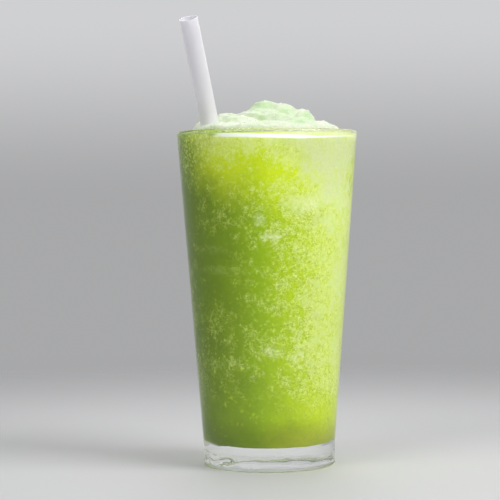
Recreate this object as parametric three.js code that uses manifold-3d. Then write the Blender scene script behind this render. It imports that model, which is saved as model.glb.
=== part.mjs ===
// Frozen lime slush served in a tall conical tumbler, with a wide drinking straw.
// Millimetres, +Z up. The origin is on the tumbler's axis, in the plane that the tumbler stands on.
// The front of the drink faces -Y.

import * as THREE from "three";
import { mergeVertices } from "three/addons/utils/BufferGeometryUtils.js";
import Module from "manifold-3d";

// Tumbler
const GLASS_HEIGHT = 160;
const RIM_RADIUS = 43.1;
const HEEL_RADIUS = 31.4;
const HEEL_HEIGHT = 8.5;
const FOOT_ROUNDING = 2;
const REST_RING_INNER_RADIUS = 24;
const HOLLOW_RADIUS = 21.5;
const HOLLOW_DEPTH = 0.5;
const LIP_ROUNDING = 1.35;
const FLOOR_THICKNESS = 10.7;
const FLOOR_CORNER_RADIUS = 16;
const LOW_WALL_THICKNESS = 3.1;
const AROUND = 72;

// Slush
const GAP = 0.3;
const DRINK_LEVEL = 158.6;

// Mound over the rim: its lobes, seen from above, and how high each stands over the mound's foot
const BODY = { x: -1, y: 0, long: 34.5, wide: 37, turn: 0, high: 5.5, edge: 0.2 };
const LOBES = [
  BODY,
  { x: -2, y: 3, long: 19.5, wide: 22, turn: 0, high: 12.3, edge: 0.6 },
  { x: -0.5, y: 3, long: 12, wide: 10, turn: -10, high: 16, edge: 0.55 },
  { x: 6, y: 1, long: 12.5, wide: 9, turn: -15, high: 14.4, edge: 0.5 },
  { x: 16.5, y: 1, long: 7, wide: 10, turn: 0, high: 11.5, edge: 0.45 },
  { x: -18.5, y: 2, long: 12.5, wide: 12, turn: 10, high: 9.8, edge: 0.4 },
  { x: -30.5, y: -3, long: 5, wide: 8, turn: 0, high: 6, edge: 0.5 },
  { x: 25, y: -2, long: 6, wide: 8, turn: 0, high: 5.6, edge: 0.4 },
  { x: 3, y: -13, long: 13, wide: 7.5, turn: -16, high: 9.5, edge: 0.5 },
  { x: -13, y: -18, long: 11, wide: 9, turn: 14, high: 7.8, edge: 0.5 },
  { x: 15, y: -21, long: 10, wide: 8, turn: -14, high: 7, edge: 0.5 },
  { x: -12, y: 19, long: 13, wide: 10, turn: -24, high: 9, edge: 0.5 },
  { x: 11, y: 19, long: 12, wide: 10, turn: 22, high: 9.6, edge: 0.5 },
  { x: -1, y: 29, long: 9, wide: 5.5, turn: 0, high: 7, edge: 0.5 },
];
const LOBE_BLEND = 0.7;

// Lumps of packed ice all over the mound: rows that wander a little, crossed by wider slanted rows
const STRAIGHT_LUMPS = { high: 0.27, spacing: 7, wander: 1.2, bendSpacing: 22 };
const SLANTED_LUMPS = { high: 0.18, spacing: 11, shift: 2 };

// Waves round the edge of the mound's foot
const FOOT_WAVES = [
  { count: 5, high: 0.012, shift: 1 },
  { count: 9, high: 0.01, shift: 2 },
];
const MOUND_SECTORS = 84;
const MOUND_RINGS = 17;

// Straw: where its axis crosses the plane of the rim, and how far it leans for each millimetre up
const STRAW_DIAMETER = 8.7;
const STRAW_WALL = 0.4;
const STRAW_AT_RIM = new THREE.Vector3(-26.3, -12, GLASS_HEIGHT);
const STRAW_LEAN = new THREE.Vector3(-0.187, -0.36, 1);
const STRAW_ABOVE_RIM = 55.4;
const STRAW_BELOW_RIM = 110;
const STRAW_SIDES = 32;

// Glass, slush and straw finishes
const clearGlass = new THREE.MeshStandardMaterial({
  color: 0xe8efeb, roughness: 0.04, metalness: 0, transparent: true, opacity: 0.35,
});
const limeSlush = new THREE.MeshStandardMaterial({ color: 0xa8c81e, roughness: 0.45, metalness: 0 });
const paleIce = new THREE.MeshStandardMaterial({ color: 0xe2f6d0, roughness: 0.55, metalness: 0 });
const frostedPlastic = new THREE.MeshStandardMaterial({ color: 0xdcdbe0, roughness: 0.4, metalness: 0 });

const lerp = THREE.MathUtils.lerp;
const radians = THREE.MathUtils.degToRad;

function arc(centreRadius, centreHeight, radius, fromDegrees, toDegrees, steps) {
  const points = [];
  for (let i = 0; i <= steps; i++) {
    const angle = radians(lerp(fromDegrees, toDegrees, i / steps));
    const r = centreRadius + radius * Math.cos(angle);
    points.push(new THREE.Vector2(r, centreHeight + radius * Math.sin(angle)));
  }
  return points;
}

function turned(profile, segments) {
  return new THREE.LatheGeometry(profile, segments).rotateX(Math.PI / 2);
}

// The wall's inner face is a straight cone between the floor's corner and the lip
const CORNER_TOP = FLOOR_THICKNESS + FLOOR_CORNER_RADIUS;
const LIP_BOTTOM = GLASS_HEIGHT - LIP_ROUNDING;
const WALL_SLOPE = (RIM_RADIUS - HEEL_RADIUS) / (LIP_BOTTOM - HEEL_HEIGHT);
const INNER_CORNER_RADIUS = HEEL_RADIUS + WALL_SLOPE * (CORNER_TOP - HEEL_HEIGHT) - LOW_WALL_THICKNESS;
const INNER_RIM_RADIUS = RIM_RADIUS - 2 * LIP_ROUNDING;

function innerRadius(height) {
  const share = (height - CORNER_TOP) / (LIP_BOTTOM - CORNER_TOP);
  return lerp(INNER_CORNER_RADIUS, INNER_RIM_RADIUS, share);
}

// The floor's round corner, from the floor up to the wall, drawn that far inside the glass
function floorCorner(inset) {
  const centreRadius = INNER_CORNER_RADIUS - FLOOR_CORNER_RADIUS;
  return arc(centreRadius, CORNER_TOP, FLOOR_CORNER_RADIUS - inset, -90, 0, 6);
}

// The glass stands on a flat ring round a shallow hollow
function glassGeometry() {
  const footCentre = HEEL_RADIUS - FOOT_ROUNDING;
  const profile = [
    new THREE.Vector2(0, HOLLOW_DEPTH),
    new THREE.Vector2(HOLLOW_RADIUS, HOLLOW_DEPTH),
    new THREE.Vector2(REST_RING_INNER_RADIUS, 0),
    ...arc(footCentre, FOOT_ROUNDING, FOOT_ROUNDING, -90, 0, 4),
    new THREE.Vector2(HEEL_RADIUS, HEEL_HEIGHT),
    ...arc(RIM_RADIUS - LIP_ROUNDING, LIP_BOTTOM, LIP_ROUNDING, 0, 180, 6),
    ...floorCorner(0).reverse(),
    new THREE.Vector2(0, FLOOR_THICKNESS),
  ];
  return turned(profile, AROUND);
}

// A turned body that fills the tumbler from its floor to the drink's level, clear of the glass by the gap
function drinkBodyGeometry() {
  const profile = [
    new THREE.Vector2(0, FLOOR_THICKNESS + GAP),
    ...floorCorner(GAP),
    new THREE.Vector2(innerRadius(DRINK_LEVEL) - GAP, DRINK_LEVEL),
    new THREE.Vector2(0, DRINK_LEVEL),
  ];
  return turned(profile, AROUND);
}

function tubeGeometry(inner, outer, from, to) {
  const profile = [
    new THREE.Vector2(inner, from),
    new THREE.Vector2(outer, from),
    new THREE.Vector2(outer, to),
    new THREE.Vector2(inner, to),
    new THREE.Vector2(inner, from),
  ];
  return turned(profile, STRAW_SIDES);
}

function rodGeometry(radius, from, to) {
  const profile = [
    new THREE.Vector2(0, from),
    new THREE.Vector2(radius, from),
    new THREE.Vector2(radius, to),
    new THREE.Vector2(0, to),
  ];
  return turned(profile, STRAW_SIDES);
}

function lobeHeight(lobe, x, y) {
  const turn = radians(lobe.turn);
  const dx = x - lobe.x;
  const dy = y - lobe.y;
  const along = (dx * Math.cos(turn) + dy * Math.sin(turn)) / lobe.long;
  const across = (dy * Math.cos(turn) - dx * Math.sin(turn)) / lobe.wide;
  const inside = 1 - along * along - across * across;
  return inside > 0 ? lobe.high * inside ** lobe.edge : 0;
}

// A wave along a line, once in each spacing
function wave(distance, spacing, shift) {
  return Math.sin((2 * Math.PI * distance) / spacing + shift);
}

function straightLumps(x, y) {
  const { high, spacing, wander, bendSpacing } = STRAIGHT_LUMPS;
  const alongX = wave(x, spacing, wander * wave(y, bendSpacing, 0));
  const alongY = wave(y, spacing, wander * wave(x, bendSpacing, 0));
  return high * alongX * alongY;
}

function slantedLumps(x, y) {
  const { high, spacing, shift } = SLANTED_LUMPS;
  return high * wave(x + y, spacing, shift) * wave(x - y, spacing, shift);
}

// The lobes melt into one another: the sum in the logarithm is close to the highest of them
function moundHeight(x, y) {
  let sum = 0;
  for (const lobe of LOBES) {
    sum += Math.expm1(lobeHeight(lobe, x, y) / LOBE_BLEND);
  }
  const height = LOBE_BLEND * Math.log1p(sum);
  const calmAtFoot = Math.min(1, height / BODY.high);
  return height + (straightLumps(x, y) + slantedLumps(x, y)) * calmAtFoot;
}

// The mound's foot is an oval with a slightly wavy edge
function footReach(angle) {
  let reach = 1;
  for (const { count, high, shift } of FOOT_WAVES) {
    reach += high * Math.sin(count * angle + shift);
  }
  return reach;
}

function moundGeometry() {
  const foot = DRINK_LEVEL + GAP;
  const positions = [BODY.x, BODY.y, foot, BODY.x, BODY.y, foot + moundHeight(BODY.x, BODY.y)];
  const indices = [];
  const column = (sector, ring) => 2 + (sector % MOUND_SECTORS) * MOUND_RINGS + ring;
  for (let sector = 0; sector < MOUND_SECTORS; sector++) {
    const angle = (2 * Math.PI * sector) / MOUND_SECTORS;
    const reach = footReach(angle);
    for (let ring = 1; ring <= MOUND_RINGS; ring++) {
      // The rings crowd towards the foot, where the mound is steep
      const share = Math.sin((Math.PI / 2) * (ring / MOUND_RINGS));
      const ux = BODY.long * share * Math.cos(angle);
      const uy = BODY.wide * share * Math.sin(angle);
      const height = ring < MOUND_RINGS ? moundHeight(BODY.x + ux, BODY.y + uy) : 0;
      positions.push(BODY.x + ux * reach, BODY.y + uy * reach, foot + height);
    }
    const next = sector + 1;
    indices.push(1, column(sector, 0), column(next, 0));
    for (let ring = 0; ring < MOUND_RINGS - 1; ring++) {
      const near = column(sector, ring);
      const far = column(sector, ring + 1);
      const nearNext = column(next, ring);
      const farNext = column(next, ring + 1);
      indices.push(near, far, farNext, near, farNext, nearNext);
    }
    indices.push(0, column(next, MOUND_RINGS - 1), column(sector, MOUND_RINGS - 1));
  }
  const geometry = new THREE.BufferGeometry();
  geometry.setAttribute("position", new THREE.Float32BufferAttribute(positions, 3));
  geometry.setIndex(indices);
  return geometry;
}

// Joining and cutting
const wasm = await Module();
wasm.setup();

function toSolid(geometry) {
  const bare = geometry.clone();
  bare.deleteAttribute("normal");
  bare.deleteAttribute("uv");
  const merged = mergeVertices(bare, 1e-4);
  const corners = merged.index.array;
  const triangles = [];
  for (let i = 0; i < corners.length; i += 3) {
    const [a, b, c] = [corners[i], corners[i + 1], corners[i + 2]];
    if (a !== b && b !== c && c !== a) triangles.push(a, b, c);
  }
  return new wasm.Manifold(new wasm.Mesh({
    numProp: 3,
    vertProperties: new Float32Array(merged.attributes.position.array),
    triVerts: new Uint32Array(triangles),
  }));
}

function toGeometry(solid) {
  const mesh = solid.getMesh();
  const geometry = new THREE.BufferGeometry();
  geometry.setAttribute("position", new THREE.BufferAttribute(mesh.vertProperties, 3));
  geometry.setIndex(new THREE.BufferAttribute(mesh.triVerts, 1));
  geometry.computeVertexNormals();
  return geometry;
}

function namedMesh(name, geometry, material) {
  const mesh = new THREE.Mesh(geometry, material);
  mesh.name = name;
  return mesh;
}

// The straw's own axis is +Z from its crossing with the plane of the rim
function strawMesh() {
  const radius = STRAW_DIAMETER / 2;
  const tube = tubeGeometry(radius - STRAW_WALL, radius, -STRAW_BELOW_RIM, STRAW_ABOVE_RIM);
  const mesh = namedMesh("straw", tube, frostedPlastic);
  const up = new THREE.Vector3(0, 0, 1);
  mesh.quaternion.setFromUnitVectors(up, STRAW_LEAN.clone().normalize());
  mesh.position.copy(STRAW_AT_RIM);
  mesh.updateMatrix();
  return mesh;
}

// What the straw takes out of the drink: its wall, so that a core of slush stands inside it
function strawSleeve(straw) {
  const radius = STRAW_DIAMETER / 2;
  const inner = radius - STRAW_WALL - GAP;
  const sleeve = tubeGeometry(inner, radius + GAP, -STRAW_BELOW_RIM - GAP, STRAW_ABOVE_RIM);
  return toSolid(sleeve.applyMatrix4(straw.matrix));
}

// What the straw takes out of the mound: all of its round
function strawHole(straw) {
  const rod = rodGeometry(STRAW_DIAMETER / 2 + GAP, -STRAW_BELOW_RIM, STRAW_ABOVE_RIM);
  return toSolid(rod.applyMatrix4(straw.matrix));
}

function frozenDrink() {
  const straw = strawMesh();
  const drink = toSolid(drinkBodyGeometry()).subtract(strawSleeve(straw));
  const mound = toSolid(moundGeometry()).subtract(strawHole(straw));
  const group = new THREE.Group();
  group.add(namedMesh("glass", glassGeometry(), clearGlass));
  group.add(namedMesh("drink", toGeometry(drink), limeSlush));
  group.add(namedMesh("ice_crown", toGeometry(mound), paleIce));
  group.add(straw);
  return group;
}

export default frozenDrink();
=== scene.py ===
"""Dresses the frozen mojito: a tall clear tumbler, the green slush in it, its icy mound and the straw.

Shapes are worked out in millimetres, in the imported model's frame, and become metres as each mesh is made.
The front of the drink faces -Y.
"""

import math

import bpy
import numpy as np
from mathutils import Matrix, Vector, noise


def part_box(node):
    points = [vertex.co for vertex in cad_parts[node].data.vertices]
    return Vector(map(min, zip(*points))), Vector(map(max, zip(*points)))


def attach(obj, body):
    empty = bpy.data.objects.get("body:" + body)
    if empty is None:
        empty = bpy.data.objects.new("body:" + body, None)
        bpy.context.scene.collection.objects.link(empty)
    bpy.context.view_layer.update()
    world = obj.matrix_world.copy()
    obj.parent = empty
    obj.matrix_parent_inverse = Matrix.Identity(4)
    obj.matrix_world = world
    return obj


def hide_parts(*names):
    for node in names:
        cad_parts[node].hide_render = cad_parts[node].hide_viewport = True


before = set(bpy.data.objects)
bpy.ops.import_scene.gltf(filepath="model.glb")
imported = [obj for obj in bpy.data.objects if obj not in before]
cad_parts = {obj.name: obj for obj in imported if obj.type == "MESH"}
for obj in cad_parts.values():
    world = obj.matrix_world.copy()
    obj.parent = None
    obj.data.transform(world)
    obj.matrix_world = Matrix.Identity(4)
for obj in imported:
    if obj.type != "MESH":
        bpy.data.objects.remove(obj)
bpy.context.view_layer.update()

MM = 0.001
RANDOM = np.random.default_rng(7)

# Tumbler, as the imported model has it
GLASS_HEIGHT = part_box("glass")[1].z / MM
RIM_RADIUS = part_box("glass")[1].x / MM
HEEL_RADIUS = 31.4
HEEL_HEIGHT = 8.5
FOOT_ROUNDING = 2.0
REST_RING_INNER_RADIUS = 24.0
HOLLOW_RADIUS = 21.5
HOLLOW_DEPTH = 0.5
LIP_ROUNDING = 1.35
FLOOR_THICKNESS = 10.7
FLOOR_CORNER_RADIUS = 16.0
LOW_WALL_THICKNESS = 3.1
DRINK_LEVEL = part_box("drink")[1].z / MM

# Straw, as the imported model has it
STRAW_RADIUS = 4.35
STRAW_WALL = 0.4
STRAW_AT_RIM = Vector((-26.3, -12.0, 160.0))
STRAW_LEAN = Vector((-0.187, -0.36, 1.0))
STRAW_ABOVE_RIM = 55.4
STRAW_BELOW_RIM = 110.0

# Lobes of the mound: place, half length, half width and turn seen from above, height, steepness of the edge
BODY = (-1.0, 0.0, 34.5, 37.0, 0.0, 5.5, 0.2)
LOBES = [
    BODY,
    (-2.0, 3.0, 19.5, 22.0, 0.0, 12.3, 0.6),
    (-0.5, 3.0, 12.0, 10.0, -10.0, 16.0, 0.55),
    (6.0, 1.0, 12.5, 9.0, -15.0, 14.4, 0.5),
    (16.5, 1.0, 7.0, 10.0, 0.0, 11.5, 0.45),
    (-18.5, 2.0, 12.5, 12.0, 10.0, 9.8, 0.4),
    (-30.5, -3.0, 5.0, 8.0, 0.0, 6.0, 0.5),
    (25.0, -2.0, 6.0, 8.0, 0.0, 5.6, 0.4),
    (3.0, -13.0, 13.0, 7.5, -16.0, 9.5, 0.5),
    (-13.0, -18.0, 11.0, 9.0, 14.0, 7.8, 0.5),
    (15.0, -21.0, 10.0, 8.0, -14.0, 7.0, 0.5),
    (-12.0, 19.0, 13.0, 10.0, -24.0, 9.0, 0.5),
    (11.0, 19.0, 12.0, 10.0, 22.0, 9.6, 0.5),
    (-1.0, 29.0, 9.0, 5.5, 0.0, 7.0, 0.5),
]
LOBE_BLEND = 0.7

# Lumps all over the mound: rows that wander a little (height, spacing, wander, spacing of the bends),
# crossed by wider slanted rows (height, spacing, shift); and waves round its foot (count, height, shift)
STRAIGHT_LUMPS = (0.27, 7.0, 1.2, 22.0)
SLANTED_LUMPS = (0.18, 11.0, 2.0)
FOOT_WAVES = [(5, 0.012, 1.0), (9, 0.01, 2.0)]

# Camera, fitted to the tumbler's outline in the photograph
PICTURE_PIXELS = 500
FOCAL_PIXELS = 1876.4
SENSOR_MM = 36.0
CAMERA_PLACE = Vector((0.0, -900.0, 126.3))
CAMERA_AIM = Vector((-8.51, 0.0, 103.16))
CAMERA_ROLL = -0.0081


# Meshes

# Points round the axis, and steps along a wall, round a lip or floor corner, round the foot, up the base
# and across the hollow under it
AROUND = 256
WALL_STEPS = 12
ROUNDING_STEPS = 16
FOOT_STEPS = 8
BASE_STEPS = 10
HOLLOW_STEPS = 16


def new_object(name, vertices, faces):
    """An object from points in millimetres; its place is in its mesh."""
    mesh = bpy.data.meshes.new(name)
    mesh.from_pydata((np.asarray(vertices) * MM).tolist(), [], faces)
    mesh.validate()
    mesh.polygons.foreach_set("use_smooth", [True] * len(mesh.polygons))
    mesh.update()
    obj = bpy.data.objects.new(name, mesh)
    bpy.context.scene.collection.objects.link(obj)
    return obj


def arc(centre_radius, centre_height, radius, start, end, steps):
    angles = np.radians(np.linspace(start, end, steps + 1))
    return [(centre_radius + radius * math.cos(a), centre_height + radius * math.sin(a)) for a in angles]


def line(start, end, steps):
    """Points from start up to, but without, end."""
    return [tuple(np.array(start) + (np.array(end) - np.array(start)) * i / steps) for i in range(steps)]


def turned(profile, around, closed=False):
    """Points and faces of a profile of (radius, height) turned about Z; a radius of zero is one point."""
    vertices = []
    rows = []
    for radius, height in profile:
        if radius < 1e-6:
            rows.append([len(vertices)] * around)
            vertices.append((0.0, 0.0, height))
            continue
        first = len(vertices)
        rows.append(list(range(first, first + around)))
        for i in range(around):
            angle = 2 * math.pi * i / around
            vertices.append((radius * math.cos(angle), radius * math.sin(angle), height))
    faces = []
    pairs = list(zip(rows, rows[1:]))
    if closed:
        pairs.append((rows[-1], rows[0]))
    for low, high in pairs:
        for i in range(around):
            j = (i + 1) % around
            corners = (low[i], low[j], high[j], high[i])
            faces.append(tuple(dict.fromkeys(corners)))
    return vertices, faces


# Tumbler

CORNER_TOP = FLOOR_THICKNESS + FLOOR_CORNER_RADIUS
LIP_BOTTOM = GLASS_HEIGHT - LIP_ROUNDING
WALL_SLOPE = (RIM_RADIUS - HEEL_RADIUS) / (LIP_BOTTOM - HEEL_HEIGHT)
INNER_CORNER_RADIUS = HEEL_RADIUS + WALL_SLOPE * (CORNER_TOP - HEEL_HEIGHT) - LOW_WALL_THICKNESS
INNER_RIM_RADIUS = RIM_RADIUS - 2 * LIP_ROUNDING


def inner_radius(height):
    share = (height - CORNER_TOP) / (LIP_BOTTOM - CORNER_TOP)
    return INNER_CORNER_RADIUS + (INNER_RIM_RADIUS - INNER_CORNER_RADIUS) * share


def floor_profile(sink):
    """The floor and its round corner from the axis out to the wall, sunk that far into the glass."""
    centre = INNER_CORNER_RADIUS - FLOOR_CORNER_RADIUS
    corner = arc(centre, CORNER_TOP, FLOOR_CORNER_RADIUS + sink, -90, 0, ROUNDING_STEPS)
    return [(0.0, FLOOR_THICKNESS - sink)] + corner


# Waves in the base: heights, and spacings along X, Y and Z; those in its wall fade out below its top
BASE_TOP = 14.0
WALL_RIPPLE = 0.12
WALL_RIPPLE_SPACING = (6.0, 6.0, 3.0)
WALL_RIPPLE_FADE = 9.0
FRONT_LEFT_GAIN = 2.0
UNDERSIDE_RIPPLE = 0.05
UNDERSIDE_RIPPLE_SPACING = (9.0, 4.0)


def wall_ripple(x, y, z):
    """How far the base's wall stands out, most at the front left."""
    share = max(0, min(1, z - FOOT_ROUNDING, (BASE_TOP - z) / WALL_RIPPLE_FADE))
    front_left = max(0, -x / HEEL_RADIUS) * max(0, 0.4 - y / HEEL_RADIUS)
    height = WALL_RIPPLE * share * (1 + FRONT_LEFT_GAIN * front_left)
    across, along, up = WALL_RIPPLE_SPACING
    return height * noise.noise(Vector((x / across, y / along, z / up)))


def ripple_base(vertices):
    """Slight waves, as in any pressed base; the wall above it and the ring that it stands on stay smooth."""
    across, along = UNDERSIDE_RIPPLE_SPACING
    for i, (x, y, z) in enumerate(vertices):
        radius = math.hypot(x, y)
        if radius < HOLLOW_RADIUS - 0.5 and z < 1:
            up = UNDERSIDE_RIPPLE * noise.noise(Vector((x / across, y / along, 3.0)))
            vertices[i] = (x, y, z + up)
        elif radius > HEEL_RADIUS - 0.01 and z < BASE_TOP:
            out = 1 + wall_ripple(x, y, z) / radius
            vertices[i] = (x * out, y * out, z)


def make_glass():
    """The tumbler, from under its middle out and up over the lip, and down again to its floor."""
    edge = (HOLLOW_RADIUS, HOLLOW_DEPTH)
    underside = line((0.0, HOLLOW_DEPTH), edge, HOLLOW_STEPS) + line(edge, (REST_RING_INNER_RADIUS, 0.0), 2)
    wall_foot = (HEEL_RADIUS, HEEL_HEIGHT)
    base_top = (HEEL_RADIUS + WALL_SLOPE * (BASE_TOP - HEEL_HEIGHT), BASE_TOP)
    wall_top = (RIM_RADIUS, LIP_BOTTOM)
    inner_top = (INNER_RIM_RADIUS, LIP_BOTTOM)
    inner_foot = (INNER_CORNER_RADIUS, CORNER_TOP)
    profile = (
        underside
        + [(REST_RING_INNER_RADIUS, 0.0)]
        + arc(HEEL_RADIUS - FOOT_ROUNDING, FOOT_ROUNDING, FOOT_ROUNDING, -90, 0, FOOT_STEPS)
        + line((HEEL_RADIUS, FOOT_ROUNDING), wall_foot, WALL_STEPS)[1:]
        + line(wall_foot, base_top, BASE_STEPS)
        + line(base_top, wall_top, WALL_STEPS)
        + arc(RIM_RADIUS - LIP_ROUNDING, LIP_BOTTOM, LIP_ROUNDING, 0, 180, ROUNDING_STEPS)
        + line(inner_top, inner_foot, WALL_STEPS)[1:]
        + floor_profile(0.0)[::-1]
    )
    vertices, faces = turned(profile, AROUND)
    ripple_base(vertices)
    return new_object("tumbler", vertices, faces)


# Slush in the tumbler

INTO_WALL = 0.12
DRINK_WALL_STEPS = 30

# Rings of points on the slush's top, as far in as the mound leaves it open: the first three by their distance
# from its rim, and the step between those that follow
FIRST_TOP_RINGS = (0.4, 0.9, 1.5)
TOP_RING_STEP = 0.6
HIDDEN_TOP_RADIUS = 28.0

# Unevenness of the slush's top: waves (spacing, height), and how far it sinks
TOP_SINK = 0.25
TOP_WAVES = [(6.0, 0.5), (1.6, 0.35)]


def uneven_top(place):
    """How far the slush's top is over its level, or under it where this is negative."""
    return sum(height * noise.noise(place / spacing) for spacing, height in TOP_WAVES) - TOP_SINK


def make_drink():
    """The slush reaches just into the wall and the floor, so that no air shows between it and the glass."""
    top = DRINK_LEVEL
    rim = inner_radius(top) + INTO_WALL
    wall_start = CORNER_TOP + 2
    wall = line((inner_radius(wall_start) + INTO_WALL, wall_start), (rim, top), DRINK_WALL_STEPS)
    profile = floor_profile(INTO_WALL) + wall + [(rim, top - 0.2)]
    first, second, third = (rim - distance for distance in FIRST_TOP_RINGS)
    rings = [first, second] + list(np.arange(third, HIDDEN_TOP_RADIUS, -TOP_RING_STEP))
    profile += [(r, top) for r in rings] + [(0.0, top)]
    vertices, faces = turned(profile, AROUND)
    vertices = np.array(vertices)
    radius = np.hypot(vertices[:, 0], vertices[:, 1])
    surface = (vertices[:, 2] > top - 0.05) & (radius > 1)
    for i in np.nonzero(surface)[0]:
        vertices[i, 2] += uneven_top(Vector(vertices[i]))
    return new_object("slush", vertices, faces)


# Mound of ice over the rim


def lobe_height(lobe, x, y):
    centre_x, centre_y, half_length, half_width, turn, high, edge = lobe
    turn = math.radians(turn)
    dx = x - centre_x
    dy = y - centre_y
    along = (dx * math.cos(turn) + dy * math.sin(turn)) / half_length
    across = (dy * math.cos(turn) - dx * math.sin(turn)) / half_width
    inside = np.clip(1 - along**2 - across**2, 0, None)
    return high * inside**edge


def wave(distance, spacing, shift):
    """A wave along a line, once in each spacing."""
    return np.sin(2 * math.pi * distance / spacing + shift)


def straight_lumps(x, y):
    high, spacing, wander, bend_spacing = STRAIGHT_LUMPS
    along_x = wave(x, spacing, wander * wave(y, bend_spacing, 0))
    along_y = wave(y, spacing, wander * wave(x, bend_spacing, 0))
    return high * along_x * along_y


def slanted_lumps(x, y):
    high, spacing, shift = SLANTED_LUMPS
    return high * wave(x + y, spacing, shift) * wave(x - y, spacing, shift)


def mound_height(x, y):
    total = sum(np.expm1(lobe_height(lobe, x, y) / LOBE_BLEND) for lobe in LOBES)
    height = LOBE_BLEND * np.log1p(total)
    calm_at_foot = np.minimum(1, height / BODY[5])
    return height + (straight_lumps(x, y) + slanted_lumps(x, y)) * calm_at_foot


def foot_reach(angle):
    return 1 + sum(high * np.sin(count * angle + shift) for count, high, shift in FOOT_WAVES)


def square_to_disc(u, v):
    """Maps the square from -1 to 1 onto the unit disc with cells of even size."""
    wide = np.abs(u) > np.abs(v)
    radius = np.where(wide, u, v)
    safe = np.where(radius == 0, 1, radius)
    angle = np.where(wide, math.pi / 4 * (v / safe), math.pi / 2 - math.pi / 4 * (u / safe))
    return radius * np.cos(angle), radius * np.sin(angle)


def vertex_normals(vertices, faces):
    corners = vertices[faces]
    face_normals = np.cross(corners[:, 1] - corners[:, 0], corners[:, 2] - corners[:, 0])
    normals = np.zeros_like(vertices)
    for k in range(faces.shape[1]):
        np.add.at(normals, faces[:, k], face_normals)
    return normals / np.linalg.norm(normals, axis=1, keepdims=True)


# Radius of a granule's cap, as a share of the spacing
GRANULE_CAP = 0.8


def granules(points, size):
    """Rounded caps of packed grains, from 0 between grains to 1 on top of each."""
    heights = np.empty(len(points))
    for i, point in enumerate(points / size):
        nearest = noise.voronoi(Vector(point))[0][0]
        heights[i] = math.sqrt(max(0.0, 1 - (nearest / GRANULE_CAP) ** 2))
    return heights


def waves(points, size):
    return np.array([noise.noise(Vector(point)) for point in points / size])


# The mound's lobes start over the slush, and its foot goes down into it
MOUND_BASE = DRINK_LEVEL + 0.3
MOUND_FOOT = DRINK_LEVEL - 0.4

# Relief on the mound: granules (size, height, shift), creases, and waves (size, height)
GRANULES = [(2.6, 0.3, 0.0), (1.3, 0.05, 40.0)]
GRANULE_MIDDLE = 0.6
CREASE_SIZE = 8.0
CREASE_DEPTH = 0.7
CREASE_MIDDLE = 0.15
MOUND_WAVES = [(3.2, 0.25), (1.1, 0.05)]


def mound_relief(vertices, rough):
    relief = CREASE_DEPTH * (CREASE_MIDDLE - np.abs(waves(vertices, CREASE_SIZE)))
    for size, height, shift in GRANULES:
        relief += height * (granules(vertices + shift, size) - GRANULE_MIDDLE) * rough
    for size, height in MOUND_WAVES:
        relief += height * waves(vertices, size)
    return relief


def make_mound():
    """The mound, and its points, normals and roughness for the loose grains."""
    steps = 270
    line_of = np.linspace(-1, 1, steps + 1)
    u, v = np.meshgrid(line_of, line_of, indexing="ij")
    x, y = square_to_disc(u, v)
    share = np.hypot(x, y)
    angle = np.arctan2(y, x)
    spread = np.where(share > 0, np.sin(math.pi / 2 * share) / np.where(share > 0, share, 1), math.pi / 2)
    across_x = BODY[2] * x * spread
    across_y = BODY[3] * y * spread
    height = mound_height(BODY[0] + across_x, BODY[1] + across_y)
    on_edge = share > 1 - 1e-9
    height = np.where(on_edge, 0, height)
    reach = foot_reach(angle)
    places = [BODY[0] + across_x * reach, BODY[1] + across_y * reach, MOUND_BASE + height]
    vertices = np.stack(places, axis=-1).reshape(-1, 3)
    index = np.arange((steps + 1) ** 2).reshape(steps + 1, steps + 1)
    quads = np.stack([index[:-1, :-1], index[1:, :-1], index[1:, 1:], index[:-1, 1:]], axis=-1).reshape(-1, 4)
    normals = vertex_normals(vertices, quads)
    edge = on_edge.reshape(-1)
    rough = mound_roughness(vertices)
    relief = mound_relief(vertices, rough)
    relief[edge] = 0
    vertices += normals * relief[:, None]
    vertices[edge, 2] = MOUND_FOOT
    ring = edge_ring(index)
    centre = len(vertices)
    vertices = np.vstack([vertices, [[BODY[0], BODY[1], MOUND_FOOT]]])
    faces = [tuple(q) for q in quads.tolist()]
    faces += [(centre, b, a) for a, b in zip(ring, ring[1:] + ring[:1])]
    return new_object("ice_mound", vertices, faces), vertices, normals, rough


def edge_ring(index):
    """The grid's outer points in order, anticlockwise seen from above."""
    bottom = index[:, 0].tolist()
    right = index[-1, 1:].tolist()
    top = index[:-1, -1][::-1].tolist()
    left = index[0, 1:-1][::-1].tolist()
    return bottom + right + top + left


ROUGH_AT_FOOT = 0.5
ROUGHER_AT_SIDES = 0.3
ROUGHNESS_LIMITS = (0.25, 0.75)
SMOOTHING_HEIGHT = 9.0


def mound_roughness(vertices):
    """Grains show most low down at the sides, and least on the smooth peak."""
    height = vertices[:, 2] - DRINK_LEVEL
    sideways = np.abs(vertices[:, 0] - BODY[0]) / BODY[2]
    rough = ROUGH_AT_FOOT - height / SMOOTHING_HEIGHT + ROUGHER_AT_SIDES * sideways**2
    return np.clip(rough, *ROUGHNESS_LIMITS)


def icosahedron():
    """Points and faces of a regular solid with 20 sides, each corner 1 from its middle."""
    golden = (1 + math.sqrt(5)) / 2
    points = []
    for a in (-1, 1):
        for b in (-golden, golden):
            points += [(0, a, b), (a, b, 0), (b, 0, a)]
    points = np.array(points, float)
    points /= np.linalg.norm(points[0])
    edge = min(np.linalg.norm(points[0] - p) for p in points[1:]) * 1.01
    faces = []
    count = len(points)
    for i in range(count):
        for j in range(i + 1, count):
            for k in range(j + 1, count):
                sides = [np.linalg.norm(points[p] - points[q]) for p, q in ((i, j), (j, k), (k, i))]
                if max(sides) < edge:
                    outward = np.dot(np.cross(points[j] - points[i], points[k] - points[i]), points[i]) > 0
                    faces.append((i, j, k) if outward else (i, k, j))
    return points, np.array(faces)


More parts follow.
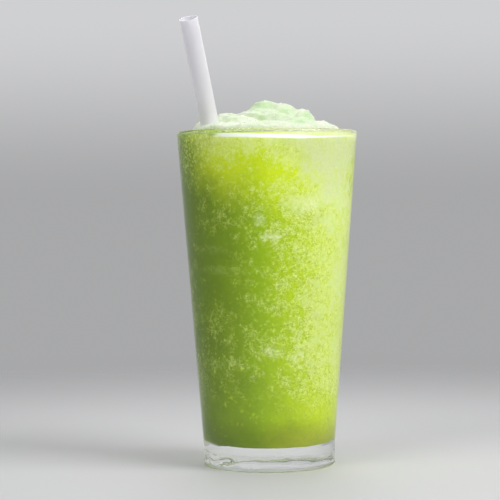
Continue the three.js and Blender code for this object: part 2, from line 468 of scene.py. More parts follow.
# Loose grains: how many on the mound and round its foot, where they may lie, and their forms
MOUND_GRAINS = 1900
FOOT_GRAINS = 650
LOWEST_ON_MOUND = DRINK_LEVEL + 0.8
CLEAR_OF_WALL = 0.7
STREWN_OUT = 0.8
STREWN_IN = 0.2
GRAIN_SIZES = (0.2, 0.48)
GRAIN_STRETCH = (0.75, 1.25)
GRAIN_DENTS = (0.85, 1.12)
GRAIN_LIFT = (-0.5, 0.0)


def places_round_foot(count):
    """Places on the slush close round the mound's foot, fewer further out."""
    places = []
    while len(places) < count:
        angle = RANDOM.uniform(0, 2 * math.pi)
        out = RANDOM.exponential(STREWN_OUT) - STREWN_IN
        reach = foot_reach(angle)
        x = BODY[0] + (BODY[2] * reach + out) * math.cos(angle)
        y = BODY[1] + (BODY[3] * reach + out) * math.sin(angle)
        if math.hypot(x, y) < INNER_RIM_RADIUS - CLEAR_OF_WALL:
            place = Vector((x, y, DRINK_LEVEL))
            place.z += uneven_top(place)
            places.append(np.array(place))
    return places


def make_grains(vertices, normals, rough):
    """Loose grains of ice half sunk in the mound's surface, and a few on the slush round its foot."""
    shape, shape_faces = icosahedron()
    chance = rough**2
    chance[vertices[:-1, 2] < LOWEST_ON_MOUND] = 0
    chance /= chance.sum()
    chosen = RANDOM.choice(len(chance), size=MOUND_GRAINS, replace=False, p=chance)
    places = [(vertices[i], normals[i]) for i in chosen]
    places += [(place, np.array((0.0, 0.0, 1.0))) for place in places_round_foot(FOOT_GRAINS)]
    all_vertices = []
    all_faces = []
    for n, (place, normal) in enumerate(places):
        size = RANDOM.uniform(*GRAIN_SIZES)
        stretch = RANDOM.uniform(*GRAIN_STRETCH, 3)
        turn = Matrix.Rotation(RANDOM.uniform(0, math.pi), 3, Vector(RANDOM.normal(size=3)))
        dented = shape * RANDOM.uniform(*GRAIN_DENTS, (len(shape), 1))
        points = (dented * stretch * size) @ np.array(turn)
        centre = place + normal * size * RANDOM.uniform(*GRAIN_LIFT)
        all_vertices.append(points + centre)
        all_faces.append(shape_faces + n * len(shape))
    return new_object("ice_grains", np.vstack(all_vertices), np.vstack(all_faces).tolist())


# Straw

STRAW_AROUND = 96
STRAW_STEPS = 24


def make_straw():
    """A thin tube with rounded ends, closed in on itself."""
    inner = STRAW_RADIUS - STRAW_WALL
    middle = STRAW_RADIUS - STRAW_WALL / 2
    half_wall = STRAW_WALL / 2
    top = STRAW_ABOVE_RIM - half_wall
    bottom = half_wall - STRAW_BELOW_RIM
    profile = (
        arc(middle, bottom, half_wall, -180, 0, 6)
        + line((STRAW_RADIUS, bottom), (STRAW_RADIUS, top), STRAW_STEPS)[1:]
        + arc(middle, top, half_wall, 0, 180, 6)
        + line((inner, top), (inner, bottom), STRAW_STEPS)[1:]
    )
    vertices, faces = turned(profile, STRAW_AROUND, closed=True)
    turn = np.array(STRAW_LEAN.normalized().to_track_quat("Z", "Y").to_matrix())
    vertices = np.array(vertices) @ turn.T + np.array(STRAW_AT_RIM)
    return new_object("drinking_straw", vertices, faces)


# Materials


def set_stops(ramp, stops):
    """Puts each stop's colour at its place on the ramp."""
    while len(ramp.elements) < len(stops):
        ramp.elements.new(0.5)
    for element, (place, colour) in zip(ramp.elements, stops):
        element.position = place
        element.color = (*colour, 1)


RIDGE_STEEPNESS = 5.0


class Graph:
    """One material's nodes. Each method adds nodes and gives back the socket that holds their result."""

    def __init__(self, name):
        self.material = bpy.data.materials.new(name)
        self.material.use_nodes = True
        self.tree = self.material.node_tree
        self.tree.nodes.clear()

    def add(self, kind, inputs=None, output=0, **settings):
        """Adds a node, and links or sets its inputs."""
        node = self.tree.nodes.new(kind)
        for key, value in settings.items():
            setattr(node, key, value)
        for key, value in (inputs or {}).items():
            if isinstance(value, bpy.types.NodeSocket):
                self.tree.links.new(value, node.inputs[key])
            else:
                node.inputs[key].default_value = value
        return node.outputs[output]

    def body(self, inputs):
        """The shader of a solid surface."""
        return self.add("ShaderNodeBsdfPrincipled", inputs)

    def surface(self, shader):
        output = self.tree.nodes.new("ShaderNodeOutputMaterial")
        self.tree.links.new(shader, output.inputs["Surface"])
        return self.material

    def vector_math(self, operation, *vectors):
        return self.add("ShaderNodeVectorMath", dict(enumerate(vectors)), operation=operation)

    def length(self, vector):
        return self.add("ShaderNodeVectorMath", {0: vector}, output="Value", operation="LENGTH")

    def millimetres(self):
        """The place on the object."""
        place = self.add("ShaderNodeTexCoord", output="Object")
        return self.add("ShaderNodeVectorMath", {0: place, "Scale": 1 / MM}, operation="SCALE")

    def part(self, vector, axis):
        return self.add("ShaderNodeSeparateXYZ", {0: vector}, output=axis)

    def moved(self, vector, offset):
        return self.vector_math("ADD", vector, offset)

    def clouds(self, vector, size, detail=2.0, roughness=0.5):
        inputs = {"Vector": vector, "Scale": 1 / size, "Detail": detail, "Roughness": roughness}
        return self.add("ShaderNodeTexNoise", inputs)

    def cells(self, vector, size, output="Distance"):
        return self.add("ShaderNodeTexVoronoi", {"Vector": vector, "Scale": 1 / size}, output=output)

    def warped(self, vector, size, amount):
        """The same place, shifted this way and that by up to half the amount."""
        cloud = self.add("ShaderNodeTexNoise", {"Vector": vector, "Scale": 1 / size}, output="Color")
        centred = self.vector_math("SUBTRACT", cloud, (0.5, 0.5, 0.5))
        return self.vector_math("MULTIPLY_ADD", centred, (amount, amount, amount), vector)

    def patch(self, vector, centre, reach):
        """A soft drift: 1 in its middle and 0 past its reach."""
        offset = self.vector_math("SUBTRACT", vector, centre)
        return self.fade(self.length(self.vector_math("DIVIDE", offset, reach)), 1.0, 0.1)

    def patches(self, vector, drifts):
        """Several drifts together, each a centre and a reach."""
        return self.greatest(*(self.patch(vector, centre, reach) for centre, reach in drifts))

    def ridges(self, vector, size):
        """Close to 1 along thin wandering lines."""
        centred = self.math("SUBTRACT", self.clouds(vector, size, detail=3.0, roughness=0.55), 0.5)
        return self.raised(1.0, self.math("ABSOLUTE", centred), -RIDGE_STEEPNESS)

    def math(self, operation, first, second=0.0, third=0.0):
        return self.add("ShaderNodeMath", {0: first, 1: second, 2: third}, operation=operation)

    def times(self, first, *others):
        """The product of all."""
        for value in others:
            first = self.math("MULTIPLY", first, value)
        return first

    def greatest(self, first, *others):
        """The greatest of all."""
        for value in others:
            first = self.math("MAXIMUM", first, value)
        return first

    def raised(self, base, value, factor):
        """The base, with the value times the factor added."""
        return self.math("MULTIPLY_ADD", value, factor, base)

    def blend(self, share, first, second):
        """Goes from the first value to the second as the share goes from 0 to 1."""
        return self.raised(first, self.math("SUBTRACT", second, first), share)

    def fade(self, value, start, end, low=0.0, high=1.0):
        """Goes smoothly from low at start to high at end."""
        inputs = {"Value": value, "From Min": start, "From Max": end, "To Min": low, "To Max": high}
        return self.add("ShaderNodeMapRange", inputs, interpolation_type="SMOOTHSTEP")

    def ramp(self, value, stops):
        node = self.tree.nodes.new("ShaderNodeValToRGB")
        self.tree.links.new(value, node.inputs[0])
        set_stops(node.color_ramp, stops)
        return node.outputs[0]

    def mix(self, factor, first, second, mode="MIX"):
        """Lays the second colour over the first by the factor."""
        colours = [(*value, 1) if isinstance(value, tuple) else value for value in (first, second)]
        inputs = {0: factor, 6: colours[0], 7: colours[1]}
        return self.add("ShaderNodeMix", inputs, output=2, data_type="RGBA", blend_type=mode)


# In the materials, a span is where a fade starts and ends, and the values there if they aren't 0 and 1.
# Spans over a place, sizes and spacings are in millimetres. A warp is a size of bends and how far they go.

# Most of a cloud's values lie between these
CLOUD_RANGE = (0.3, 0.7)

GLASS_TINT = (0.97, 0.985, 0.975, 1)
GLASS_SHADOW = (0.93, 0.95, 0.94, 1)
MATT_ROUGHNESS = 0.5
MATT_HEIGHTS = (FOOT_ROUNDING + 0.6, FOOT_ROUNDING - 0.2)
MATT_RADII = (HEEL_RADIUS - 2.6, HEEL_RADIUS - 1.8)


def glass_material():
    """Clear glass, ground matt round its foot, that lets light through into its shadow."""
    g = Graph("clear_glass")
    place = g.millimetres()
    radius = g.length(g.vector_math("MULTIPLY", place, (1, 1, 0)))
    foot = g.times(g.fade(g.part(place, "Z"), *MATT_HEIGHTS), g.fade(radius, *MATT_RADII))
    body = g.body(
        {
            "Base Color": GLASS_TINT,
            "Roughness": g.times(foot, MATT_ROUGHNESS),
            "IOR": 1.5,
            "Transmission Weight": 1.0,
        }
    )
    clear = g.add("ShaderNodeBsdfTransparent", {"Color": GLASS_SHADOW})
    shadow = g.add("ShaderNodeLightPath", output="Is Shadow Ray")
    return g.surface(g.add("ShaderNodeMixShader", {0: shadow, 1: body, 2: clear}))


# Drifts in the slush, each a centre and a reach
# Painted light: a glow near the top in front, where light comes into the slush from above, and along the
# right edge
PAINTED_GLOW_DRIFTS = [
    ((-13, -36, 148), (46, 36, 27)),
    ((-21, -33, 150), (16, 24, 16)),
    ((6, -38, 140), (34, 28, 26)),
    ((41, -6, 119), (7, 20, 17)),
]
CALM_DRIFTS = [
    ((-25, -26, 97), (20, 22, 26)),
    ((-38, -10, 118), (10, 20, 30)),
]
YELLOW_EDGE = ((43, -9, 143), (8, 22, 36))
FROSTED_DRIFTS = [
    ((29, -28, 137), (22, 24, 22)),
    ((13, -38, 124), (9, 12, 8)),
    ((3, -38, 111), (8, 12, 3.5)),
    ((1.5, -36, 59), (6, 10, 3.2)),
    ((14, -35, 54), (6, 10, 4)),
    ((36, -20, 126), (6, 14, 7)),
]
SWIRLS = [
    ((3, -36, 58), (7, 12, 4.5)),
    ((4, -38, 111), (8, 12, 3)),
    ((-4, -38, 117.5), (4, 10, 4)),
    ((18, -35, 123), (8, 12, 6)),
    ((15, -35, 52), (6, 12, 3)),
]
STREAKS = [
    ((-27, -30, 104), (14, 22, 3.0)),
    ((-24, -30, 94.5), (19, 22, 3.4)),
    ((-25, -25, 51), (11, 18, 3.2)),
]
MOTTLED_DRIFT = ((-39, -18, 146), (14, 24, 20))
DARK_SPOT = ((-24.5, -34, 157.6), (3.4, 20, 0.9))

# Syrup from deep to yellow-green; laid along X in front, its dark end is partly painted shade and its bright
# end partly painted light
SYRUP_AND_SHADE_STOPS = [(0.0, (0.15, 0.24, 0.002)), (0.45, (0.345, 0.54, 0.003)), (1.0, (0.64, 0.79, 0.008))]
DARK_SYRUP = (0.185, 0.31, 0.002)
# Painted light for the slush's foot at the right
PAINTED_LIGHT_LOW = (0.86, 0.95, 0.06)
BRIGHT = (0.79, 0.92, 0.004)
HAZE = (0.745, 0.83, 0.41)
THICK_HAZE = (0.73, 0.79, 0.52)
SHADE_UNDER_LIP = (0.88, 0.875, 0.93)
FAINT_GRAIN = (0.68, 0.82, 0.02)
PALE_GRAIN = (0.83, 0.9, 0.34)
SWIRL = (0.86, 0.9, 0.56)
STREAK = (0.62, 0.76, 0.2)

# Warps that bend the drifts' edges, first the fine one
DRIFT_WARPS = [(3.0, 5.0), (13.0, 13.0)]

# Along Y: 0 in front and 1 round the back, where drifts that only chance has placed take over
BEHIND = (-10.0, 16.0)

# Frost: spans along X and Z, how much each kind of drift adds, and clumps (size, detail and how much)
FROST_ACROSS = (-8.0, 44.0, 0.13, 0.8)
FROST_BEHIND = 0.34
FROST_OVER_BASE = (18.0, 52.0, 0.14, 1.0)
FROST_UNDER_LIP = (140.0, 155.0, 0.0, 0.45)
UNDER_LIP_LEFT = (-40.0, -24.0, 0.1, 1.0)
UNDER_LIP_RIGHT = (14.0, 36.0, 1.0, 0.4)
FROST_OF_DRIFTS = [(0.42, FROSTED_DRIFTS), (-0.25, CALM_DRIFTS), (-0.65, [YELLOW_EDGE])]
CHANCE_FROST_SHIFT = (5, 47, 3)
CHANCE_FROST_SIZE = 19.0
CHANCE_FROST = (-0.28, 0.36)
CLUMPS = [(7.0, 4.0, 0.16), (2.8, 2.0, 0.13)]
CLUMPS_ACROSS = (-34.0, 2.0, 0.5, 1.0)
FROST_IN_MOTTLED = 0.15


def frost_share(g, place, wavy, behind):
    """How much frosty ice there is: more to the right and under the lip, less in the calm drifts."""
    x = g.part(wavy, "X")
    z = g.part(wavy, "Z")
    share = g.blend(behind, g.fade(x, *FROST_ACROSS), FROST_BEHIND)
    under_lip = g.times(g.fade(z, *FROST_UNDER_LIP), g.fade(x, *UNDER_LIP_LEFT))
    share = g.raised(share, under_lip, g.fade(x, *UNDER_LIP_RIGHT))
    for strength, drifts in FROST_OF_DRIFTS:
        share = g.raised(share, g.patches(wavy, drifts), strength)
    chance = g.clouds(g.moved(place, CHANCE_FROST_SHIFT), CHANCE_FROST_SIZE, detail=4.0)
    share = g.raised(share, g.fade(chance, *CLOUD_RANGE, *CHANCE_FROST), behind)
    large, small = (
        g.fade(g.clouds(place, size, detail), *CLOUD_RANGE, -strength, strength)
        for size, detail, strength in CLUMPS
    )
    share = g.raised(share, g.math("ADD", large, small), g.fade(x, *CLUMPS_ACROSS))
    return g.times(share, g.fade(z, *FROST_OVER_BASE))


# Syrup: its tone along X, which in front is partly painted shade at the left and painted light at the right,
# deeper clouds in it, chance bright drifts behind, and a brighter foot at the right that is painted light
SHADED_TONE_ACROSS = (-38.0, 34.0)
TONE_BEHIND = 0.58
DARK_CLOUD_SIZE = 22.0
DARK_CLOUDS = (0.5, 0.8, 0.0, 0.45)
GLOW_SHIFT = (31, 7, 19)
GLOW_SIZE = 26.0
GLOW_CLOUDS = (0.42, 0.72)
BRIGHT_STRENGTH = 0.78
PAINTED_LIGHT_LOW_HEIGHTS = (25.0, 12.0)
PAINTED_LIGHT_LOW_ACROSS = (-12.0, 22.0)
PAINTED_LIGHT_LOW_STRENGTH = 0.85


# Painted light in front, from the glow drifts, and chance bright clouds behind
def bright_share(g, place, wavy, behind):
    glow = g.clouds(g.moved(place, GLOW_SHIFT), GLOW_SIZE, detail=4.0, roughness=0.6)
    return g.greatest(g.patches(wavy, PAINTED_GLOW_DRIFTS), g.times(g.fade(glow, *GLOW_CLOUDS), behind))


def syrup_colour(g, place, wavy, behind, bright):
    """Clear syrup, from deep green at the left to yellow-green at the right, which in front is partly painted
    shade and painted light; with a painted glow and a paler foot at the right that is painted light.
    """
    x = g.part(wavy, "X")
    # In front this tone is partly painted shade at the left and painted light at the right
    syrup = g.ramp(g.blend(behind, g.fade(x, *SHADED_TONE_ACROSS), TONE_BEHIND), SYRUP_AND_SHADE_STOPS)
    cloud = g.clouds(place, DARK_CLOUD_SIZE, detail=4.0, roughness=0.6)
    syrup = g.mix(g.fade(cloud, *DARK_CLOUDS), syrup, DARK_SYRUP)
    # Painted light: paler low down at the right, against the shade where the slush curves in over the floor
    low = g.times(g.fade(g.part(place, "Z"), *PAINTED_LIGHT_LOW_HEIGHTS), g.fade(x, *PAINTED_LIGHT_LOW_ACROSS), PAINTED_LIGHT_LOW_STRENGTH)
    syrup = g.mix(low, syrup, PAINTED_LIGHT_LOW)
    # The bright share is painted light in front
    return g.mix(g.times(bright, BRIGHT_STRENGTH), syrup, BRIGHT)


# Grain of the slush. A shift that goes with a grain's size is a number of sizes along each axis.
CRUMB_SIZES = (1.5, 0.9)
CRUMB_SHIFT = (9, 0, 5)
CRUMBS_OF_FROST = 0.12
CRUMB_CLOUDS = (0.48, 0.72)
CRUMB_STRENGTH = 0.6
CAP_SIZES = (2.4, 1.4)
CAP_SHIFT = (11, 3, 7)
CAP_WARP = (0.8, 0.9)
CAP_EDGE = (0.42, 0.28)
CAPS_KEPT = (0.84, 1.14)
SLIT_SHIFT = (17, 5, 9)
SLIT_SPACING = 1.9
SLIT_EDGE = (0.84, 0.94)
SLITS_OF_FROST = (0.0, 0.28, 0.1, 0.8)
SLITS_IN_BRIGHT = (0.1, 0.9, 1.0, 0.35)
LACE_SPACING = 2.5
LACE_EDGE = (0.86, 0.95)
LACE_OF_FROST = (0.0, 0.38, 0.04, 1.0)
GAP_WARP = (1.2, 1.0)
GAP_SPACING = 1.5
GAP_EDGE = (0.3, 0.7)
GAPS_ELSEWHERE = 0.12


def crumbs(g, place, size, frost, grainy):
    """Fine crumbs, as specks without a clear edge."""
    cloud = g.clouds(g.moved(place, tuple(size * n for n in CRUMB_SHIFT)), size, roughness=0.6)
    return g.times(g.fade(g.raised(cloud, frost, CRUMBS_OF_FROST), *CRUMB_CLOUDS), grainy, CRUMB_STRENGTH)


def caps(g, place, size, frost, even):
    """Round grains pressed against the wall; chance leaves more of them where there is frost."""
    shape = g.warped(g.moved(place, tuple(size * n for n in CAP_SHIFT)), *(size * n for n in CAP_WARP))
    cap = g.fade(g.cells(shape, size), *CAP_EDGE)
    chance = g.part(g.cells(shape, size, output="Color"), "X")
    return g.times(cap, g.fade(g.math("ADD", frost, chance), *CAPS_KEPT), even)


def slits(g, place, frost, even, bright):
    """Thin lines of deeper syrup between grains."""
    lines = g.fade(g.ridges(g.moved(place, SLIT_SHIFT), SLIT_SPACING), *SLIT_EDGE)
    return g.times(even, g.fade(frost, *SLITS_OF_FROST), lines, g.fade(bright, *SLITS_IN_BRIGHT))


def lace(g, place, frost, even):
    """Thin pale lines of ice."""
    return g.times(even, g.fade(frost, *LACE_OF_FROST), g.fade(g.ridges(place, LACE_SPACING), *LACE_EDGE))


def gaps(g, place, even, mottled):
    """Gaps between lumps, deep in the mottled drift and faint elsewhere."""
    between = g.fade(g.cells(g.warped(place, *GAP_WARP), GAP_SPACING), *GAP_EDGE)
    return g.times(between, g.raised(mottled, even, GAPS_ELSEWHERE))


# Wisps: strands of ice, and the warps that bend the streaks
STRAND_WARP = (3.0, 2.0)
STRAND_SPACING = 3.4
STRAND_EDGE = (0.7, 0.95, 0.3, 1.0)
STREAK_WARPS = [(3.0, 2.5), (11.0, 6.0)]
STREAK_STRENGTH = 0.28
SWIRL_STRENGTH = 0.95


def with_wisps(g, place, wavy, colour):
    """Broad faint streaks at the left, and a few pale swirls."""
    strands = g.fade(g.ridges(g.warped(place, *STRAND_WARP), STRAND_SPACING), *STRAND_EDGE)
    bent = place
    for warp in STREAK_WARPS:
        bent = g.warped(bent, *warp)
    colour = g.mix(g.times(g.patches(bent, STREAKS), strands, STREAK_STRENGTH), colour, STREAK)
    return g.mix(g.times(g.patches(wavy, SWIRLS), strands, SWIRL_STRENGTH), colour, SWIRL)


# Spans over the frost: grain shows least where there is much of it, and haze comes with it
EVEN_OF_FROST = (0.38, 0.72, 1.1, 0.2)
LESS_EVEN_LEFT = (-34.0, -6.0, 0.6, 1.0)
GRAINY_OF_FROST = (0.0, 0.27, 0.08, 1.0)
HAZE_OF_FROST = (0.2, 1.0)
HAZE_STRENGTH = 0.85
THICK_HAZE_OF_FROST = (0.75, 1.25, 0.0, 0.7)
PALE_GRAIN_OF_FROST = (0.0, 0.7)
FAINT_GRAIN_STRENGTH = 0.6
DEEP_SYRUP_STRENGTH = 0.5
PALE_LACE_STRENGTH = 0.3
# Painted shade under the lip at the right: its heights and its span along X
SHADE_HEIGHTS = (122.0, 152.0)
SHADE_ACROSS = (0.0, 24.0)


def slush_colour(g, place):
    """Drifts of deeper and brighter green, with frosty haze and pale grains of ice; the brighter drifts in
    front are painted light, and the top at the right under the lip has painted shade.
    """
    wavy = place
    for warp in DRIFT_WARPS:
        wavy = g.warped(wavy, *warp)
    x = g.part(wavy, "X")
    behind = g.fade(g.part(place, "Y"), *BEHIND)
    bright = bright_share(g, place, wavy, behind)
    mottled = g.patch(wavy, *MOTTLED_DRIFT)
    frost = g.raised(frost_share(g, place, wavy, behind), mottled, FROST_IN_MOTTLED)
    clear_left = g.greatest(g.fade(x, *LESS_EVEN_LEFT), mottled, behind)
    even = g.times(g.fade(frost, *EVEN_OF_FROST), clear_left)
    grainy = g.times(even, g.fade(frost, *GRAINY_OF_FROST))

    syrup = syrup_colour(g, place, wavy, behind, bright)
    deep_syrup = g.mix(DEEP_SYRUP_STRENGTH, syrup, DARK_SYRUP)
    faint_grain = g.mix(FAINT_GRAIN_STRENGTH, syrup, FAINT_GRAIN)
    grain = g.mix(g.fade(frost, *PALE_GRAIN_OF_FROST), faint_grain, PALE_GRAIN)
    pale_lace = g.mix(PALE_LACE_STRENGTH, grain, PALE_GRAIN)

    colour = g.mix(g.times(g.fade(frost, *HAZE_OF_FROST), HAZE_STRENGTH), syrup, HAZE)
    colour = g.mix(g.fade(frost, *THICK_HAZE_OF_FROST), colour, THICK_HAZE)
    for size in CRUMB_SIZES:
        colour = g.mix(crumbs(g, place, size, frost, grainy), colour, grain)
    for size in CAP_SIZES:
        colour = g.mix(caps(g, place, size, frost, even), colour, grain)
    colour = g.mix(slits(g, place, frost, even, bright), colour, deep_syrup)
    colour = g.mix(lace(g, place, frost, even), colour, pale_lace)
    colour = with_wisps(g, place, wavy, colour)
    colour = g.mix(gaps(g, place, even, mottled), colour, deep_syrup)
    # Painted shade: darker under the lip at the right
    shaded = g.times(g.fade(g.part(place, "Z"), *SHADE_HEIGHTS), g.fade(x, *SHADE_ACROSS))
    return g.mix(shaded, colour, SHADE_UNDER_LIP, mode="MULTIPLY")


# Painted highlight of the lip, a white band on the slush under it: it sinks from left to right, rises again
# at the edge, and is thinner at the right
LIP_HIGHLIGHT = (0.87, 0.89, 0.87)
LIP_HIGHLIGHT_WARP = (9.0, 0.8)
LIP_HIGHLIGHT_HEIGHT = 156.3
LIP_HIGHLIGHT_SINKS = (-26.0, 18.0, 1.0, -0.3)
LIP_HIGHLIGHT_RISES = (20.0, 40.0, 0.0, 0.9)
LIP_HIGHLIGHT_HALF_HEIGHT = 1.0
LIP_HIGHLIGHT_THINS = (14.0, 24.0, 1.0, 0.45)
LIP_HIGHLIGHT_EDGE = (1.15, 0.6)
LIP_HIGHLIGHT_STARTS = (-26.0, -19.0)
LIP_HIGHLIGHT_ENDS = (42.0, 20.0, 0.3, 1.0)
DARK_SPOT_STRENGTH = 0.8


def with_painted_lip_highlight(g, place, colour):
    """A painted highlight of the lip: a white band on the slush against the wall just under it, strongest in
    front.
    """
    slow = g.warped(place, *LIP_HIGHLIGHT_WARP)
    x = g.part(place, "X")
    level = g.math("ADD", g.fade(x, *LIP_HIGHLIGHT_SINKS), g.fade(x, *LIP_HIGHLIGHT_RISES))
    level = g.math("ADD", level, LIP_HIGHLIGHT_HEIGHT)
    off_line = g.math("ABSOLUTE", g.math("SUBTRACT", g.part(slow, "Z"), level))
    thickness = g.times(g.fade(x, *LIP_HIGHLIGHT_THINS), LIP_HIGHLIGHT_HALF_HEIGHT)
    highlight_band = g.fade(g.math("DIVIDE", off_line, thickness), *LIP_HIGHLIGHT_EDGE)
    highlight_band = g.times(g.fade(x, *LIP_HIGHLIGHT_STARTS), g.fade(x, *LIP_HIGHLIGHT_ENDS), highlight_band)
    # A dark spot of deeper syrup at the lip's left
    colour = g.mix(g.times(g.patch(slow, *DARK_SPOT), DARK_SPOT_STRENGTH), colour, DARK_SYRUP)
    # Painted highlight: the white band under the lip
    return g.mix(highlight_band, colour, LIP_HIGHLIGHT)


# Painted shade on the slush's top, which faces the light, turning to a painted pale reflection towards the
# right: by height and from left to right
PAINTED_TOP_SHADE = (DRINK_LEVEL - 0.9, DRINK_LEVEL - 0.3, 0.0, 0.8)
PAINTED_TOP_ACROSS = (-40.0, 40.0)
PAINTED_TOP_STOPS = [(0.25, (0.36, 0.5, 0.08)), (0.6, (0.6, 0.62, 0.36))]


def with_painted_top_shade(g, place, colour):
    """Painted shade where the slush's top faces the light at the lip, with a painted pale reflection towards
    the right.
    """
    shaded_top = g.ramp(g.fade(g.part(place, "X"), *PAINTED_TOP_ACROSS), PAINTED_TOP_STOPS)
    return g.mix(g.fade(g.part(place, "Z"), *PAINTED_TOP_SHADE), colour, shaded_top)


def slush_material():
    """Wet green slush against the glass."""
    g = Graph("lime_slush")
    place = g.millimetres()
    colour = with_painted_top_shade(g, place, with_painted_lip_highlight(g, place, slush_colour(g, place)))
    body = g.body(
        {
            "Base Color": colour,
            "Roughness": 0.5,
            "Specular IOR Level": 0.1,
            "Subsurface Weight": 0.1,
            "Subsurface Radius": (1.2, 1.4, 0.3),
            "Subsurface Scale": MM,
        }
    )
    return g.surface(body)


# Ice of the mound: its clouds, its greener drifts, which in front are painted shade, and its paler foot,
# which is painted light
ICE_IOR = 1.31
ICE_WARP = (6.0, 5.0)
ICE_CLOUD_SIZE = 8.0
ICE_STOPS = [(0.32, (0.57, 0.72, 0.42)), (0.5, (0.68, 0.77, 0.56)), (0.68, (0.77, 0.8, 0.68))]
SHADED_GREEN_ICE = (0.5, 0.76, 0.36)
SHADE_AND_GREEN_DRIFTS = [
    ((-5, -2, 173), (10, 12, 8)),
    ((9, -8, 169), (9, 10, 4)),
    ((13, -26, 163.5), (11, 12, 4)),
    ((20, -6, 168), (6, 10, 3)),
    ((-14, 20, 168), (14, 14, 7)),
]
GREEN_WARP = (5.0, 7.0)
SHADED_GREEN_STRENGTH = 0.65
PAINTED_LIGHT_FOOT = (0.88, 0.94, 0.76)
PAINTED_LIGHT_FOOT_HEIGHTS = (DRINK_LEVEL + 6.0, DRINK_LEVEL + 1.5, 0.0, 0.75)
FINE_ICE_SIZE = 0.7
LOOSE_ICE_STOPS = [(0.3, (0.84, 0.94, 0.7)), (0.7, (0.92, 0.95, 0.84))]
LOOSE_ICE_CLOUD_SIZE = 2.5


def ice_material():
    """Pale packed ice, with greener drifts that in front are painted shade and a paler foot that is painted
    light.
    """
    g = Graph("pale_ice")
    place = g.millimetres()
    colour = g.ramp(g.clouds(g.warped(place, *ICE_WARP), ICE_CLOUD_SIZE, 5.0, 0.65), ICE_STOPS)
    wavy = g.warped(place, *GREEN_WARP)
    # Painted light: paler at the foot, which faces sideways and gets little light
    colour = g.mix(g.fade(g.part(wavy, "Z"), *PAINTED_LIGHT_FOOT_HEIGHTS), colour, PAINTED_LIGHT_FOOT)
    # Painted shade: greener on the peak's left slope and in the folds in front
    colour = g.mix(g.times(g.patches(wavy, SHADE_AND_GREEN_DRIFTS), SHADED_GREEN_STRENGTH), colour, SHADED_GREEN_ICE)
    fine = g.clouds(place, FINE_ICE_SIZE, detail=3.0)
    bump = g.add("ShaderNodeBump", {"Height": fine, "Strength": 0.25, "Distance": 0.3 * MM})
    body = g.body(
        {
            "Base Color": colour,
            "Roughness": 0.42,
            "IOR": ICE_IOR,
            "Subsurface Weight": 0.6,
            "Subsurface Radius": (3.0, 4.0, 2.2),
            "Subsurface Scale": MM,
            "Normal": bump,
        }
    )
    return g.surface(body)


def loose_ice_material():
    """Paler ice in crumbs that are too small to glow from within."""
    g = Graph("loose_ice")
    colour = g.ramp(g.clouds(g.millimetres(), LOOSE_ICE_CLOUD_SIZE), LOOSE_ICE_STOPS)
    return g.surface(g.body({"Base Color": colour, "Roughness": 0.35, "IOR": ICE_IOR}))


STRAW_STOPS = [(0.3, (0.845, 0.825, 0.885)), (0.7, (0.89, 0.87, 0.92))]
STRAW_CLOUD_SIZE = 14.0
STRAW_SCUFF_SIZE = 5.0
STRAW_ROUGHNESS = (0.3, 0.42)


def straw_material():
    """Frosted white plastic with a little light in it and a pale sheen at its edges."""
    g = Graph("frosted_straw")
    place = g.millimetres()
    scuffs = g.clouds(place, STRAW_SCUFF_SIZE, detail=3.0)
    body = g.body(
        {
            "Base Color": g.ramp(g.clouds(place, STRAW_CLOUD_SIZE, detail=3.0), STRAW_STOPS),
            "Roughness": g.fade(scuffs, *CLOUD_RANGE, *STRAW_ROUGHNESS),
            "IOR": 1.49,
            "Sheen Weight": 1.0,
            "Sheen Roughness": 0.15,
            "Subsurface Weight": 0.15,
            "Subsurface Radius": (1.6, 1.6, 1.7),
            "Subsurface Scale": MM,
        }
    )
    return g.surface(body)


FLOOR_COLOUR = (0.66, 0.66, 0.67, 1)
FLOOR_FADES = (200.0, 700.0)
FLOOR_REACH = 4000.0


def floor_material():
    """Pale and plain, fading out far from the object into the room's glow, so that no horizon shows."""
    g = Graph("pale_floor")
    body = g.body({"Base Color": FLOOR_COLOUR, "Roughness": 0.75})
    clear = g.add("ShaderNodeBsdfTransparent")
    faded = g.fade(g.length(g.millimetres()), *FLOOR_FADES)
    return g.surface(g.add("ShaderNodeMixShader", {0: faded, 1: body, 2: clear}))


# Camera, lights and floor

CLIP_START = 0.05

# Lights, in metres, watts and degrees: name, place, side, power, spread and whether they show through glass
SOFTBOXES = [
    ("key_right", (0.57, -0.36, 0.65), 0.5, 1.6, 100, True),
    ("fill_left", (-0.5, -0.6, 0.7), 0.5, 0.85, 100, True),
    ("overhead", (0.0, 0.12, 0.95), 0.6, 0.75, 110, True),
    ("rear", (0.0, 0.8, 0.8), 0.5, 0.65, 100, False),
]
SOFTBOX_AIM = (0.0, 0.0, 0.1)
EDGE_LIGHTS = [("edge_left", (-0.45, 0.7, 0.07), 0.08), ("edge_right", (0.45, 0.7, 0.07), 0.1)]
EDGE_LIGHT_SIDE = 0.09
EDGE_LIGHT_SPREAD = 16
STRAW_ABOVE_GLASS = (0.0, 0.0, 0.27)

# Glow of the room at each height of the view direction, from the floor line to halfway up, and its faint tint
ROOM_GLOW = [(0.0, 0.4), (0.1, 0.64), (0.25, 0.5), (0.5, 0.16)]
ROOM_TINT = (0.98, 0.985, 1.0)


def add_camera():
    data = bpy.data.cameras.new("camera")
    data.sensor_width = SENSOR_MM
    data.lens = FOCAL_PIXELS * SENSOR_MM / PICTURE_PIXELS
    data.clip_start = CLIP_START
    camera = bpy.data.objects.new("camera", data)
    turn = (CAMERA_AIM - CAMERA_PLACE).to_track_quat("-Z", "Y").to_matrix()
    turn = turn @ Matrix.Rotation(CAMERA_ROLL, 3, "Z")
    camera.matrix_world = Matrix.Translation(CAMERA_PLACE * MM) @ turn.to_4x4()
    bpy.context.scene.collection.objects.link(camera)
    bpy.context.scene.camera = camera


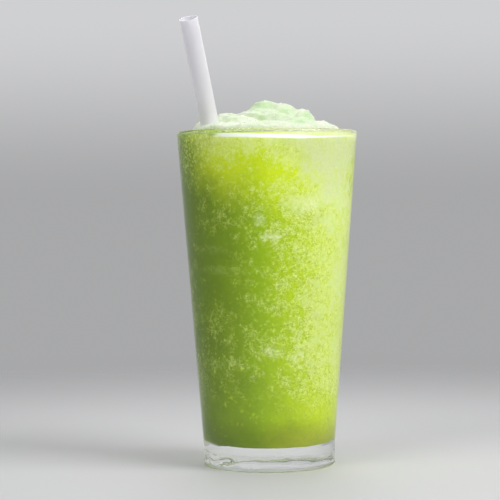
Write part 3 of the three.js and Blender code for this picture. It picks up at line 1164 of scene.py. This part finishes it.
def add_softbox(name, place, aim, side, watts, spread):
    """A soft square light whose grid keeps its beam within the spread."""
    data = bpy.data.lights.new(name, "AREA")
    data.shape = "SQUARE"
    data.size = side
    data.energy = watts
    data.spread = math.radians(spread)
    light = bpy.data.objects.new(name, data)
    turn = (Vector(aim) - Vector(place)).to_track_quat("-Z", "Y")
    light.matrix_world = Matrix.Translation(Vector(place)) @ turn.to_matrix().to_4x4()
    bpy.context.scene.collection.objects.link(light)
    return light


def add_lights():
    """Soft boxes round the drink, and two narrow beams from behind that light up the straw's sides."""
    for name, place, side, watts, spread, through_glass in SOFTBOXES:
        light = add_softbox(name, place, SOFTBOX_AIM, side, watts, spread)
        light.visible_transmission = through_glass
    for name, place, watts in EDGE_LIGHTS:
        light = add_softbox(name, place, STRAW_ABOVE_GLASS, EDGE_LIGHT_SIDE, watts, EDGE_LIGHT_SPREAD)
        light.visible_transmission = False
        light.visible_glossy = False


def add_world():
    """A soft grey room, palest behind the object and darker overhead."""
    world = bpy.data.worlds.new("studio")
    bpy.context.scene.world = world
    world.use_nodes = True
    tree = world.node_tree
    direction = tree.nodes.new("ShaderNodeTexCoord").outputs["Generated"]
    split = tree.nodes.new("ShaderNodeSeparateXYZ")
    tree.links.new(direction, split.inputs[0])
    room = tree.nodes.new("ShaderNodeValToRGB")
    room.color_ramp.interpolation = "EASE"
    set_stops(room.color_ramp, [(height, tuple(glow * t for t in ROOM_TINT)) for height, glow in ROOM_GLOW])
    tree.links.new(split.outputs["Z"], room.inputs[0])
    tree.links.new(room.outputs[0], tree.nodes["Background"].inputs["Color"])


def add_floor():
    half = FLOOR_REACH
    vertices = [(-half, -half, 0), (half, -half, 0), (half, half, 0), (-half, half, 0)]
    floor = new_object("floor", vertices, [(0, 1, 2, 3)])
    floor.data.materials.append(floor_material())


def dress(piece, material, node):
    piece.data.materials.append(material)
    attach(piece, "root")
    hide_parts(node)


add_camera()
add_lights()
add_world()
add_floor()
bpy.context.scene.view_settings.view_transform = "Standard"

dress(make_glass(), glass_material(), "glass")
dress(make_drink(), slush_material(), "drink")
mound, mound_points, mound_normals, mound_rough = make_mound()
dress(mound, ice_material(), "ice_crown")
grains = make_grains(mound_points, mound_normals, mound_rough)
dress(grains, loose_ice_material(), "ice_crown")
dress(make_straw(), straw_material(), "straw")
